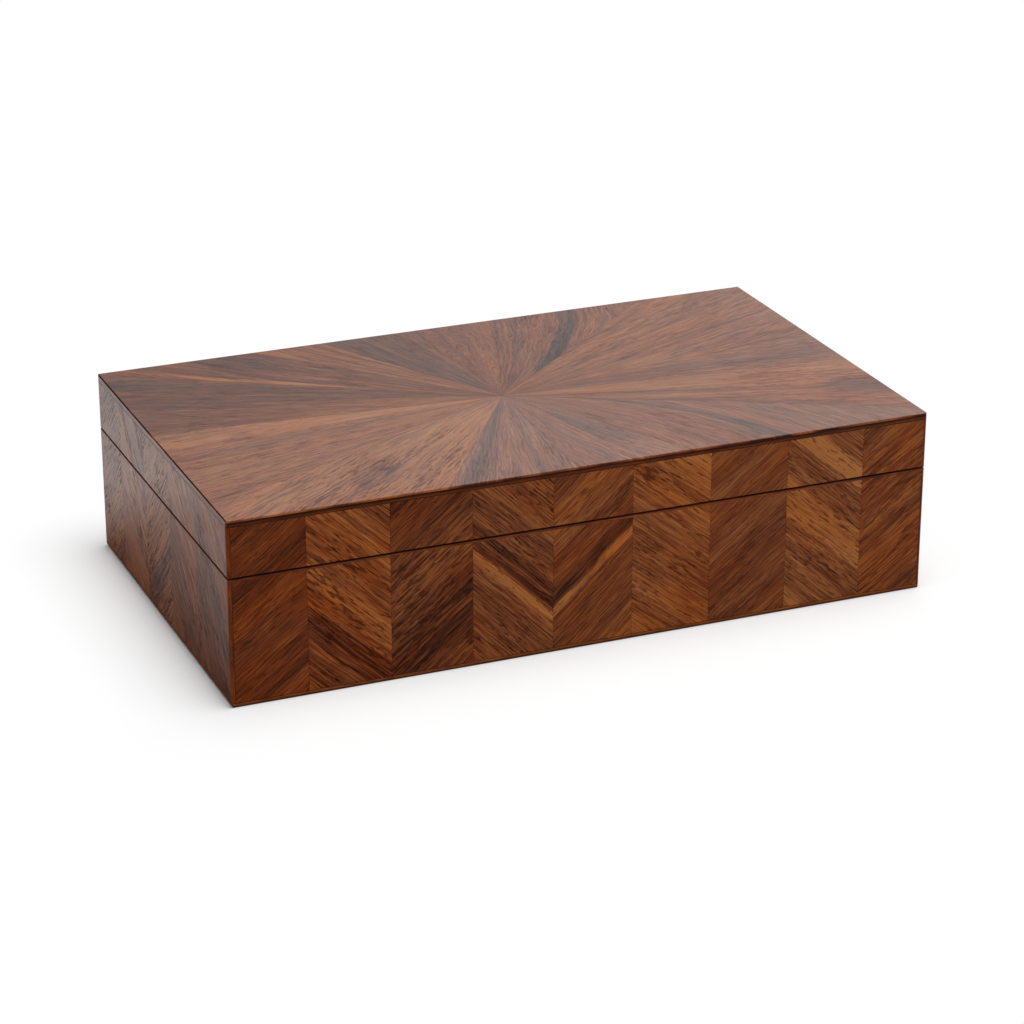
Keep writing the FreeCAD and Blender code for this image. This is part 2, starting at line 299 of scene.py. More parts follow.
rosewood = {"dark": (0.036, 0.0105, 0.0032, 1), "mid": (0.150, 0.037, 0.0080, 1),
            "light": (0.36, 0.122, 0.024, 1),
            "ior": 1.15, "gloss": 0.95, "glossRoughness": 0.24, "relief": 0.22, "reliefDepth": 0.12 * mm}
cedar = {"dark": (0.20, 0.075, 0.032, 1), "mid": (0.36, 0.16, 0.075, 1), "light": (0.56, 0.31, 0.165, 1),
         "ior": 1.40, "gloss": 0.0, "glossRoughness": 0.40, "relief": 0.25, "reliefDepth": 0.15 * mm}
panelWood = {"dark": (0.22, 0.11, 0.055, 1), "mid": (0.38, 0.22, 0.12, 1), "light": (0.55, 0.37, 0.22, 1),
             "ior": 1.40, "gloss": 0.0, "glossRoughness": 0.40, "relief": 0.25, "reliefDepth": 0.15 * mm}
glossTurn = (0.25, 0.70)    # the varnish starts to shine and shines fully at these slants to the eye


def emptyMaterial(name):
    material = bpy.data.materials.new(name)
    material.use_nodes = True
    material.node_tree.nodes.clear()
    output = put(material.node_tree, "OutputMaterial")
    return material, material.node_tree, output.inputs["Surface"]


def newMaterial(name):
    material, tree, surface = emptyMaterial(name)
    shader = put(tree, "BsdfPrincipled")
    tree.links.new(shader.outputs[0], surface)
    return material, tree, shader


def finishWood(tree, shader, wood, values, shineMask=1.0):
    stain = {"Dark": wood["dark"], "Mid": wood["mid"], "Light": wood["light"]}
    surface = placeGroup(tree, woodGroup, {**stain, **values})
    bump = put(tree, "Bump", {"Height": surface["Height"], "Strength": wood["relief"],
                              "Distance": wood["reliefDepth"]})
    connect(tree, shader.inputs, {"Base Color": surface["Color"], "Roughness": surface["Roughness"],
                                  "Normal": bump.outputs[0], "IOR": wood["ior"],
                                  "Coat Roughness": wood["glossRoughness"]})
    if wood["gloss"]:
        slant = put(tree, "LayerWeight").outputs["Facing"]
        shine = times(tree, remap(tree, slant, *glossTurn, 0.0, wood["gloss"]), shineMask)
        connect(tree, shader.inputs, {"Coat Weight": times(tree, shine, surface["Gloss"])})


def placeInMm(tree):
    place = put(tree, "TexCoord").outputs["Object"]
    return put(tree, "Mapping", {"Vector": place, "Scale": (1 / mm, 1 / mm, 1 / mm)}).outputs[0]


def mappedPlace(tree, origin, along, across):
    turn = Matrix((along, across, along.cross(across))).transposed().to_euler()
    place = put(tree, "TexCoord").outputs["Object"]
    return put(tree, "Mapping", {"Vector": place, "Location": origin, "Rotation": turn, "Scale": (mm, mm, mm)},
               vector_type="TEXTURE").outputs[0]


def boxOutline(tree, place):
    return placeGroup(tree, stripGroup, {"Vector": place, "Half Width": cadHigh.x / mm,
                                         "Half Depth": -cadLow.y / mm})


def wanderingGrain(tree, vector, seed, look):
    return placeGroup(tree, flowGroup, {"Vector": vector, "Seed": seed, "Wander": look["wander"],
                                        "Ripple": look["ripple"]})


# streaks come and go along the leaf, and have soft edges; a ramp holds seven of them
streakLook = {"noise": (0.025, 0.20, 13.0, 2.0, 0.5), "range": (0.30, 0.60), "strength": (0.60, 1.10),
              "softness": 0.35, "inRamp": 7}


# tone across the leaf: a ground tone with streaks, each a centre, a width and a tone
def paintStreaks(ramp, span, ground, streaks, softness):
    low, high = span
    stops = [(low, ground)]
    for centre, width, tone in streaks:
        start = centre - width / 2
        end = centre + width / 2
        if stops[-1][0] > start - softness and len(stops) > 1:
            stops.pop()
        else:
            stops.append((start - softness, ground))
        stops += [(start, tone), (end, tone), (end + softness, ground)]
    stops.append((high, ground))
    while len(ramp.elements) < len(stops):
        ramp.elements.new(1.0)
    for element, (place, tone) in zip(ramp.elements, stops):
        element.position = min(max((place - low) / (high - low), 0.0), 1.0)
        element.color = (tone, tone, tone, 1)


def leafTone(tree, flow, span, leaf):
    across = remap(tree, flow["Across"], *span)
    streaks = sorted(leaf["streaks"])
    inRamp = streakLook["inRamp"]
    change = 0.0
    for first in range(0, len(streaks), inRamp):
        ramp = put(tree, "ValToRGB", {"Fac": across})
        paintStreaks(ramp.color_ramp, span, leaf["ground"], streaks[first:first + inRamp],
                     leaf.get("softness", streakLook["softness"]))
        change = plus(tree, change, minus(tree, ramp.outputs["Color"], leaf["ground"]))
    fading = grainNoise(tree, flow["Vector"], streakLook["noise"])
    strength = remap(tree, fading, *streakLook["range"], *streakLook["strength"])
    return plus(tree, times(tree, change, strength), leaf["ground"])


# side leaves, from the left end as seen from outside; streak places in mm across the grain
sideGrain = {"span": (-16.0, 74.0), "wander": 1.0, "ripple": 0.35, "bands": 0.35, "jointDark": 0.35,
             "seamPaintedShade": 0.95, "seamWidth": 0.45, "seamFade": 0.15, "sideSeed": 20, "leafSeed": 1.7}
longLeaves = [
    {"lean": 38, "ground": 0.35, "redness": 0.80, "pores": 0.7, "lines": 0.8,
     "streaks": [(-2, 5, 0.46), (3, 2, 0.22), (6, 3, 0.29), (33, 7, 0.44), (40, 4, 0.29), (45, 4, 0.20),
                 (48.5, 3, 0.28), (64.5, 4, 0.20)]},
    {"lean": -43, "ground": 0.55, "redness": 0.68, "pores": 1.0, "lines": 1.0,
     "streaks": [(-2, 8, 0.33), (3, 2, 0.44), (7.5, 4, 0.24), (11, 1.6, 0.15), (14, 5, 0.25), (19, 2, 0.48),
                 (26.5, 5, 0.75), (33, 1.8, 0.40), (48.5, 5, 0.74), (53, 1.6, 0.56), (55, 1.6, 0.72),
                 (62, 5, 0.42)]},
    {"lean": 38.5, "ground": 0.37, "redness": 0.37, "pores": 0.9, "lines": 0.9,
     "streaks": [(-5, 3, 0.43), (2, 3, 0.30), (7, 7, 0.22), (11, 2, 0.14), (16, 6, 0.23), (36, 14, 0.47),
                 (54.5, 10, 0.25), (66, 5, 0.31)]},
    {"lean": -44, "ground": 0.42, "redness": 0.15, "pores": 1.0, "lines": 1.0,
     "streaks": [(18, 3, 0.57), (22, 3.6, 0.82), (27, 2.8, 0.17), (29, 1.2, 0.34), (31, 2.6, 0.16),
                 (35.2, 2.4, 0.52), (40, 3.4, 0.37), (47.4, 2.6, 0.58), (52, 6, 0.53), (61, 6, 0.50)]},
    {"lean": 42, "ground": 0.42, "redness": 0.40, "pores": 0.7, "lines": 0.9,
     "streaks": [(-8, 4, 0.63), (-2.5, 6, 0.50), (7, 2, 0.37), (16, 4, 0.37), (23.6, 2.8, 0.86),
                 (27.4, 2.2, 0.18), (30.4, 3, 0.27), (45, 6, 0.56), (51, 5, 0.66), (56, 3, 0.56),
                 (62.5, 8, 0.33)]},
    {"lean": -38, "ground": 0.58, "redness": 0.40, "pores": 0.9, "lines": 1.0,
     "streaks": [(-6, 3, 0.64), (-1, 5, 0.53), (8, 4, 0.64), (24.5, 6, 0.48), (35.5, 4, 0.53), (43, 1.6, 0.67),
                 (47, 1.8, 0.73), (56, 5, 0.65), (61.5, 5, 0.74), (67.5, 6, 0.93)]},
    {"lean": 37, "ground": 0.41, "redness": 0.30, "pores": 0.6, "lines": 0.7,
     "streaks": [(6, 4, 0.38), (20, 10, 0.37), (33, 4, 0.51), (40, 7, 0.41), (52, 14, 0.48), (66, 6, 0.57)]},
    {"lean": -41, "ground": 0.53, "redness": 0.08, "pores": 0.9, "lines": 1.0,
     "streaks": [(-6, 5, 0.66), (-1, 1.6, 0.46), (1, 1.6, 0.57), (4, 3, 0.49), (12, 4, 0.46), (27.2, 13, 0.76),
                 (37, 2.4, 0.51), (44.4, 3, 0.49), (51, 6.4, 0.94), (55.2, 1.6, 0.72), (62, 4, 0.42)]},
    {"lean": 35.5, "ground": 0.45, "redness": 0.30, "pores": 0.7, "lines": 0.9,
     "streaks": [(-4, 3, 0.34), (0, 4, 0.41), (18, 6, 0.52), (24.5, 1.6, 0.36), (26.6, 1.4, 0.42), (31, 4, 0.56),
                 (35.4, 1.2, 0.34), (37.6, 1.6, 0.33), (40, 2, 0.38), (48, 3, 0.58), (59.5, 3, 0.54),
                 (66.5, 4, 0.38)]},
]
shortLeaves = [
    {"lean": 45, "ground": 0.44, "redness": 0.40, "pores": 1.0, "lines": 1.35,
     "streaks": [(11, 20, 0.64), (54, 16, 0.36)]},
    {"lean": -47, "ground": 0.60, "redness": 0.30, "pores": 1.0, "lines": 1.35,
     "streaks": [(20, 26, 0.61), (47, 18, 0.41), (62, 6, 0.32)]},
    {"lean": 46, "ground": 0.57, "redness": 0.40, "pores": 0.9, "lines": 1.25,
     "streaks": [(12, 12, 0.33), (31, 18, 0.54), (63, 6, 0.33)]},
    {"lean": -45, "ground": 0.52, "redness": 0.45, "pores": 0.9, "lines": 1.25,
     "streaks": [(14, 19, 0.32), (27, 6, 0.44), (42.5, 3, 0.66), (45.5, 2, 0.46)]},
    {"lean": -48, "ground": 0.40, "redness": 0.50, "pores": 0.9, "lines": 1.25,
     "streaks": [(-10, 5, 0.46), (10, 14, 0.30), (26, 12, 0.25), (46, 8, 0.58), (58, 6, 0.62)]},
]
footLine = 1.6 * mm     # lowest line of the figure, just above the floor
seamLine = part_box("lid_front_veneer")[0].z


def sideLeafMaterial(name, centre, rightward, halfLeaf, leaf, seed):
    material, tree, shader = newMaterial(name)
    lean = math.radians(leaf["lean"])
    up = Vector((0, 0, 1))
    along = rightward * math.cos(lean) + up * math.sin(lean)
    across = up * math.cos(lean) - rightward * math.sin(lean)
    local = mappedPlace(tree, centre, along, across)
    flow = wanderingGrain(tree, local, seed, sideGrain)
    part = splitAxes(tree, local)
    level = minus(tree, times(tree, part["X"], math.cos(lean)), times(tree, part["Y"], math.sin(lean)))
    height = plus(tree, times(tree, part["X"], math.sin(lean)), times(tree, part["Y"], math.cos(lean)))
    edge = minus(tree, halfLeaf / mm, calc(tree, "ABSOLUTE", level))
    # a near-black line along the seam: painted shade in the gap between lid and base
    fromSeam = calc(tree, "ABSOLUTE", minus(tree, height, (seamLine - footLine) / mm))
    seamShade = remap(tree, fromSeam, sideGrain["seamWidth"] + sideGrain["seamFade"], sideGrain["seamWidth"])
    finishWood(tree, shader, rosewood, {
        "Vector": flow["Vector"], "Tone": leafTone(tree, flow, sideGrain["span"], leaf),
        "Edge": times(tree, edge, minus(tree, 1.0, seamShade)),
        "Edge Dark": between(tree, seamShade, sideGrain["jointDark"], sideGrain["seamPaintedShade"]),
        "Bands": sideGrain["bands"], "Lines": leaf["lines"], "Pores": leaf["pores"], "Redness": leaf["redness"]})
    return material


# the joints of a side are where the leaves of its veneer end
def leafJoints(node, direction):
    return sorted({round(vert.co.dot(direction), 5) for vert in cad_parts[node].data.vertices})


sideFaces = {
    "front": {"rightward": Vector((1, 0, 0)), "normal": Vector((0, -1, 0)), "like": "front",
              "leaves": longLeaves},
    "right": {"rightward": Vector((0, 1, 0)), "normal": Vector((1, 0, 0)), "like": "left",
              "leaves": shortLeaves},
    "back": {"rightward": Vector((-1, 0, 0)), "normal": Vector((0, 1, 0)), "like": "front",
             "leaves": longLeaves},
    "left": {"rightward": Vector((0, -1, 0)), "normal": Vector((-1, 0, 0)), "like": "left",
             "leaves": shortLeaves},
}
leafShape = {"probe": 0.1 * mm, "merge": 0.002 * mm, "flatAngle": 1}


def addObject(name, data):
    added = bpy.data.objects.new(name, data)
    bpy.context.scene.collection.objects.link(added)
    return added


# one piece for the leaves of a side: a merged copy of its veneer, each leaf with its own figure
def makeLeaves(body, side, joints, rightward, materials):
    node = body + "_" + side + "_veneer"
    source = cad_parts[node].data
    whole = bmesh.new()
    for number, (start, end) in enumerate(zip(joints, joints[1:])):
        leaf = bmesh.new()
        leaf.from_mesh(source)
        others = []
        for face in leaf.faces:
            inside = face.calc_center_median() - face.normal * leafShape["probe"]
            if not start < inside.dot(rightward) < end:
                others.append(face)
        bmesh.ops.delete(leaf, geom=others, context="FACES")
        bmesh.ops.remove_doubles(leaf, verts=leaf.verts, dist=leafShape["merge"])
        bmesh.ops.dissolve_limit(leaf, angle_limit=math.radians(leafShape["flatAngle"]), verts=leaf.verts,
                                 edges=leaf.edges)
        for face in leaf.faces:
            face.material_index = number
        single = bpy.data.meshes.new("leaf")
        leaf.to_mesh(single)
        leaf.free()
        whole.from_mesh(single)
        bpy.data.meshes.remove(single)
    mesh = bpy.data.meshes.new(body + "_" + side + "_leaves")
    whole.to_mesh(mesh)
    whole.free()
    for material in materials:
        mesh.materials.append(material)
    piece = addObject(mesh.name, mesh)
    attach(piece, body)
    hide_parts(node)


for faceNumber, (side, face) in enumerate(sideFaces.items()):
    rightward = face["rightward"]
    joints = leafJoints("base_" + face["like"] + "_veneer", sideFaces[face["like"]]["rightward"])
    reach = cadHigh.x if face["normal"].x else -cadLow.y
    materials = []
    for number, leaf in enumerate(face["leaves"]):
        start, end = joints[number:number + 2]
        centre = rightward * ((start + end) / 2) + face["normal"] * reach + Vector((0, 0, footLine))
        seed = faceNumber * sideGrain["sideSeed"] + number * sideGrain["leafSeed"]
        materials.append(sideLeafMaterial("%sLeaf%d" % (side, number + 1), centre, rightward,
                                          (end - start) / 2, leaf, seed))
    for body in ("base", "lid"):
        makeLeaves(body, side, joints, rightward, materials)
    print(side, "leaves:", len(materials))

# sunburst leaves; streak places in degrees from the right, as the rays are
burstGrain = {"degreeWidth": 1.6, "wander": 2.0, "ripple": 0.8, "bands": 0.45, "jointDark": 0.35, "curl": 0.5,
              "curlWander": 3, "figureSeed": 200, "grainSeed": 250, "leafSeed": 2.3}
# the cut edge of the veneer has no shine and no pores
burstRim = {"depth": (0.06, 0.26), "sideInset": 0.30, "sideBelow": (0.40, 0.60), "tone": (-0.38, 0.12),
            "sideTone": -0.40, "noise": (0.035, 0.0, 5.0, 2.0, 0.5), "range": (0.44, 0.56), "lines": 0.2,
            "dullness": 0.80}
burstLeaves = [
    {"rays": (8, 41), "gloss": 0.73, "ground": 0.54, "redness": 0.38, "pores": 0.4, "lines": 1.0,
     "streaks": [(9.4, 2, 0.62), (21, 1.6, 0.46), (25.4, 2, 0.62), (29, 1.4, 0.47), (36.5, 3.6, 0.68)],
     "patches": [((140, 9.5), (30, 3), -0.14)]},
    {"rays": (41, 70), "gloss": 0.76, "ground": 0.43, "redness": 0.45, "pores": 0.5, "lines": 0.8, "swirl": 0.17,
     "ripple": 1.8, "curl": 2.2,
     "streaks": [(41.9, 1.6, 0.56), (49.6, 4.4, 0.12), (54.5, 3, 0.52), (66, 3, 0.40)],
     "patches": [((50, 52.0), (20, 4.2), -0.30), ((74, 51.4), (14, 3.4), -0.20), ((86, 54), (7, 1.4), -0.22),
                 ((20, 70), (12, 8), -0.15)]},
    {"rays": (70, 93), "gloss": 0.79, "ground": 0.44, "redness": 0.55, "pores": 0.4, "lines": 0.75, "wander": 5.0,
     "ripple": 2.4, "curl": 5.0,
     "streaks": [(74, 6, 0.50), (89, 6, 0.38)]},
    {"rays": (93, 118), "gloss": 0.80, "ground": 0.30, "redness": 0.25, "pores": 0.4, "lines": 0.7,
     "streaks": [(95, 3, 0.36), (105, 3, 0.22), (108.3, 1.6, 0.34), (111.5, 4, 0.17), (115, 2, 0.26)]},
    {"rays": (118, 149), "gloss": 0.74, "ground": 0.37, "redness": 0.35, "pores": 0.4, "lines": 0.8,
     "softness": 0.4,
     "streaks": [(119, 1.6, 0.66), (123, 3, 0.60), (126.8, 2.6, 0.56), (130, 2.4, 0.72), (142.6, 1.6, 0.48),
                 (148, 1.8, 0.60)],
     "patches": [((120, 139), (22, 5), -0.18), ((100, 148.3), (45, 1.2), 0.25)]},
    {"rays": (149, 175), "gloss": 0.80, "ground": 0.40, "redness": 0.40, "pores": 0.4, "lines": 0.8,
     "streaks": [(149.6, 1.2, 0.40), (153, 6, 0.25), (159.5, 4, 0.30), (163, 3, 0.38), (174.4, 1.2, 0.52)],
     "patches": [((38, 168), (30, 8), 0.22), ((72, 170), (20, 6), 0.12), ((130, 161), (40, 4), -0.10)]},
    {"rays": (175, 205), "gloss": 1.03, "ground": 0.63, "redness": 0.42, "pores": 0.5, "lines": 1.0,
     "streaks": [(178.4, 6.5, 0.90), (187, 2, 0.50), (193, 3, 0.62), (203, 2, 0.50)],
     "patches": [((135, 177), (35, 3), -0.20), ((117, 181), (9, 3), -0.20)]},
    {"rays": (205, 236), "gloss": 1.13, "ground": 0.71, "redness": 0.32, "pores": 0.7, "lines": 1.1,
     "curl": 1.0,
     "streaks": [(209.5, 6, 0.68), (215.5, 3, 0.60), (219.5, 2, 0.56), (223, 3, 0.76), (228.5, 4, 0.70),
                 (233.5, 3.6, 0.78)],
     "patches": [((36, 219), (30, 13), 0.16), ((103, 218.7), (17, 5), -0.21)]},
    {"rays": (236, 268), "gloss": 1.26, "ground": 0.51, "redness": 0.30, "pores": 0.5, "lines": 0.8,
     "curl": 1.5,
     "streaks": [(236.8, 1, 0.46), (240.5, 6, 0.26), (245, 1.6, 0.36), (254.5, 4, 0.56), (258.5, 1.4, 0.40),
                 (264, 5, 0.52)]},
    {"rays": (268, 299), "gloss": 1.17, "ground": 0.46, "redness": 0.45, "pores": 0.5, "lines": 0.8,
     "curl": 2.5,
     "streaks": [(276, 3, 0.46), (283, 0.9, 0.64), (286, 1.0, 0.62)],
     "patches": [((45, 291.5), (26, 5), -0.24), ((88, 294), (16, 6), 0.14)]},
    {"rays": (299, 333), "gloss": 1.00, "ground": 0.46, "redness": 0.45, "pores": 0.4, "lines": 0.9,
     "swirl": -0.20, "curl": 1.2,
     "streaks": [(303, 5, 0.50), (312, 2, 0.42), (322.6, 3.4, 0.16), (327, 3, 0.54)]},
    {"rays": (333, 368), "gloss": 0.80, "ground": 0.48, "redness": 0.45, "pores": 0.4, "lines": 0.8,
     "streaks": [(333.8, 1.2, 0.42), (338, 5, 0.60), (349, 11, 0.68), (356, 3, 0.46), (361.5, 7, 0.36),
                 (366.5, 2, 0.52)],
     "patches": [((152, 343), (22, 4.5), -0.30)]},
]
burstCentre = Vector((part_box("sunburst_leaf_01")[0].x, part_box("sunburst_leaf_03")[0].y, cadHigh.z))


def burstLeafMaterial(number, leaf):
    material, tree, shader = newMaterial("sunburstLeaf%02d" % number)
    first, last = leaf["rays"]
    middle = (first + last) / 2
    turn = math.radians(middle)
    along = Vector((math.cos(turn), math.sin(turn), 0))
    across = Vector((-math.sin(turn), math.cos(turn), 0))
    width = burstGrain["degreeWidth"]
    seed = number * burstGrain["leafSeed"]
    fan = placeGroup(tree, fanGroup, {"Vector": mappedPlace(tree, burstCentre, along, across),
                                      "Half Angle": (last - first) / 2, "Swirl": leaf.get("swirl", 0.0),
                                      "Degree Width": width})
    flow = wanderingGrain(tree, fan["Vector"], burstGrain["figureSeed"] + seed, {**burstGrain, **leaf})
    turned = [((place - middle) * width, size * width, tone) for place, size, tone in leaf["streaks"]]
    reach = (last - first) * width
    tone = leafTone(tree, flow, (-reach, reach), {**leaf, "streaks": turned})
    for (distance, angle), (length, breadth), shift in leaf.get("patches", []):
        tone = placeGroup(tree, patchGroup, {"Vector": flow["Vector"], "Tone": tone, "Shift": shift,
                                             "Place": (distance, (angle - middle) * width, 0),
                                             "Reach": (length, breadth * width, 1)})["Tone"]
    place = placeInMm(tree)
    outline = boxOutline(tree, place)
    onSide = splitAxes(tree, outline["Vector"])["Z"]
    depth = minus(tree, outline["Depth"], times(tree, onSide, burstRim["sideInset"]))
    below = minus(tree, cadHigh.z / mm, splitAxes(tree, place)["Z"])
    inside = calc(tree, "MAXIMUM", remap(tree, depth, *burstRim["depth"]),
                  times(tree, onSide, remap(tree, below, *burstRim["sideBelow"])))
    rimRun = grainNoise(tree, outline["Vector"], burstRim["noise"])
    rim = plus(tree, remap(tree, rimRun, *burstRim["range"], *burstRim["tone"]),
               times(tree, onSide, burstRim["sideTone"]))
    tone = plus(tree, tone, times(tree, rim, minus(tree, 1.0, inside)))
    curl = leaf.get("curl", burstGrain["curl"])
    grain = wanderingGrain(tree, fan["Grain"], burstGrain["grainSeed"] + seed,
                           {"wander": burstGrain["curlWander"] * curl, "ripple": curl})
    finishWood(tree, shader, rosewood, {
        "Vector": grain["Vector"], "Tone": tone, "Edge": fan["Edge"], "Edge Dark": burstGrain["jointDark"],
        "Bands": burstGrain["bands"], "Lines": between(tree, inside, burstRim["lines"], leaf["lines"]),
        "Pores": times(tree, inside, leaf["pores"]), "Redness": leaf["redness"],
        "Dullness": between(tree, inside, burstRim["dullness"], woodFinish["dullness"])},
        times(tree, inside, leaf["gloss"]))
    return material


def dress(node, material):
    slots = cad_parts[node].material_slots
    if not slots:
        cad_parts[node].data.materials.append(material)
    for slot in slots:
        slot.material = material


for number, leaf in enumerate(burstLeaves, 1):
    dress("sunburst_leaf_%02d" % number, burstLeafMaterial(number, leaf))
print("sunburst leaves:", len(burstLeaves))


# edge strips run along X or Y, whichever side of the box they are on; line widths in mm
stripLook = {"lines": 0.8, "pores": 0.5, "bands": 0.8, "wander": 0.4, "ripple": 0.2, "lineDark": 0.95,
             "string": 1.6, "cornerTone": 0.31, "cornerRedness": 0.95, "cornerLine": 0.25, "cornerDark": 0.5,
             "cornerGloss": 0.25, "longGloss": 0.25, "shortGloss": 1.1, "rimEasing": 0.5, "noLine": 10.0,
             "cornerSeed": 301, "firstSeed": 311, "nextSeed": 10}
strips = {
    # the foot bead's bottom line is painted shade where the bead turns under towards the floor
    "base_foot_bead": {"tone": 0.54, "redness": 0.50, "topLine": 0.25, "bottomLine": 1.20},
    # the rim bandings' lines at the seam are painted shade in the gap between lid and base
    "base_rim_banding": {"tone": 0.32, "redness": 0.95, "topLine": 0.15, "bottomLine": 0, "isRim": True},
    "lid_rim_banding": {"tone": 0.42, "redness": 0.60, "topLine": 0, "bottomLine": 0.12, "isRim": True},
    "lid_edge_banding": {"tone": 0.28, "redness": 1.0, "topLine": 0.95, "bottomLine": 0.35, "plainEnds": True},
}


# a dark line as wide as asked, for a place at a distance in mm from an edge of the strip
def stripEdge(tree, distance, lineWidth):
    return times(tree, distance, sum(woodGlueAndShade["fade"]) / 2 / lineWidth)


def finishStrip(tree, shader, flow, values, gloss):
    shared = {"Vector": flow["Vector"], "Bands": stripLook["bands"], "Lines": stripLook["lines"],
              "Pores": stripLook["pores"]}
    finishWood(tree, shader, rosewood, {**shared, **values}, gloss)


def stripMaterial(node, strip, seed):
    material, tree, shader = newMaterial(node + "Wood")
    place = placeInMm(tree)
    run = boxOutline(tree, place)
    low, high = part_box(node)
    level = splitAxes(tree, place)["Z"]
    onSide = splitAxes(tree, run["Vector"])["Z"]
    edge = stripLook["noLine"]
    if strip["topLine"]:
        fromTop = minus(tree, high.z / mm, level)
        if strip.get("plainEnds"):
            fromTop = plus(tree, fromTop, times(tree, onSide, stripLook["noLine"]))
        edge = calc(tree, "MINIMUM", edge, stripEdge(tree, fromTop, strip["topLine"]))
    if strip["bottomLine"]:
        fromBottom = minus(tree, level, low.z / mm)
        edge = calc(tree, "MINIMUM", edge, stripEdge(tree, fromBottom, strip["bottomLine"]))
    # on a rim the dark line at the seam is painted shade; in the mitres it is a joint line
    if strip.get("isRim"):      # the dark line is on the outer edge, and a fine one in each mitre
        onFlat = calc(tree, "GREATER_THAN", run["Depth"], stripLook["rimEasing"])
        edge = plus(tree, edge, times(tree, onFlat, stripLook["noLine"]))
        edge = calc(tree, "MINIMUM", edge, run["Mitre"])
    finishStrip(tree, shader, wanderingGrain(tree, run["Vector"], seed, stripLook),
                {"Tone": strip["tone"], "Redness": strip["redness"], "Edge": edge,
                 "Edge Dark": stripLook["lineDark"]},
                between(tree, onSide, stripLook["longGloss"], stripLook["shortGloss"]))
    return material


def cornerStringMaterial(seed):
    material, tree, shader = newMaterial("cornerStringing")
    part = splitAxes(tree, placeInMm(tree))
    string = stripLook["string"]
    inX = minus(tree, calc(tree, "ABSOLUTE", part["X"]), cadHigh.x / mm - string)
    inY = minus(tree, calc(tree, "ABSOLUTE", part["Y"]), -cadLow.y / mm - string)
    upright = joinAxes(tree, part["Z"], plus(tree, part["X"], part["Y"]), seed)
    edge = stripEdge(tree, calc(tree, "MINIMUM", inX, inY), stripLook["cornerLine"])
    finishStrip(tree, shader, wanderingGrain(tree, upright, seed, stripLook),
                {"Tone": stripLook["cornerTone"], "Redness": stripLook["cornerRedness"], "Edge": edge,
                 "Edge Dark": stripLook["cornerDark"]}, stripLook["cornerGloss"])
    return material


cornerWood = cornerStringMaterial(stripLook["cornerSeed"])
dress("base_corner_stringing", cornerWood)
dress("lid_corner_stringing", cornerWood)
for number, (node, strip) in enumerate(strips.items()):
    dress(node, stripMaterial(node, strip, stripLook["firstSeed"] + number * stripLook["nextSeed"]))
print("edge strips dressed")

# plain woods of the carcass
plainLook = {"wander": 4.0, "ripple": 0.5, "lines": 0.9, "pores": 0.35, "redness": 0.2, "dullness": 0.5}


def plainWoodMaterial(name, wood, along, across, tone, seed):
    material, tree, shader = newMaterial(name)
    local = mappedPlace(tree, Vector((0, 0, 0)), Vector(along), Vector(across))
    flow = wanderingGrain(tree, local, seed, plainLook)
    finishWood(tree, shader, wood, {"Vector": flow["Vector"], "Tone": tone, "Lines": plainLook["lines"],
                                    "Pores": plainLook["pores"], "Redness": plainLook["redness"],
                                    "Dullness": plainLook["dullness"]})
    return material


cedarLong = plainWoodMaterial("cedarLong", cedar, (1, 0, 0), (0, 0, 1), 0.45, 401)
cedarShort = plainWoodMaterial("cedarShort", cedar, (0, 1, 0), (0, 0, 1), 0.45, 402)
panelFinish = plainWoodMaterial("panelWood", panelWood, (1, 0, 0), (0, 1, 0), 0.5, 403)
splineFinish = plainWoodMaterial("splineWood", panelWood, (0, 0, 1), (1, 0, 0), 0.45, 404)
for body in ("base", "lid"):
    for side in ("front", "back"):
        dress("%s_%s_board" % (body, side), cedarLong)
    for side in ("left", "right"):
        dress("%s_%s_board" % (body, side), cedarShort)
    dress(body + "_corner_splines", splineFinish)
dress("base_bottom_panel", panelFinish)
dress("lid_top_panel", panelFinish)

# hinges and screws
brassLook = {"bright": (0.78, 0.57, 0.25, 1), "dull": (0.46, 0.30, 0.12, 1), "rough": (0.22, 0.42)}
screwLook = {"bright": (0.36, 0.25, 0.12, 1), "dull": (0.15, 0.095, 0.045, 1), "rough": (0.34, 0.54)}
brassGrain = {"brushed": (0.10, 3.0, 5.0, 3.0, 0.6), "brushRange": (0.2, 0.8),
              "cloudy": (0.25, 0.25, 9.0, 3.0, 0.6), "cloudRange": (0.35, 0.65),
              "relief": 0.15, "reliefDepth": 0.05 * mm}


def brassMaterial(name, look):
    material, tree, shader = newMaterial(name)
    place = placeInMm(tree)
    brushed = grainNoise(tree, place, brassGrain["brushed"])
    cloudy = remap(tree, grainNoise(tree, place, brassGrain["cloudy"]), *brassGrain["cloudRange"])
    bump = put(tree, "Bump", {"Height": brushed, "Strength": brassGrain["relief"],
                              "Distance": brassGrain["reliefDepth"]})
    connect(tree, shader.inputs, {"Base Color": blendColours(tree, cloudy, look["bright"], look["dull"]),
                                  "Roughness": remap(tree, brushed, *brassGrain["brushRange"], *look["rough"]),
                                  "Normal": bump.outputs[0], "Metallic": 1.0})
    return material


brass = brassMaterial("hingeBrass", brassLook)
screwBrass = brassMaterial("screwBrass", screwLook)
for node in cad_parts:
    if "hinge" in node:
        dress(node, screwBrass if "screws" in node else brass)
print("carcass and hinges dressed")

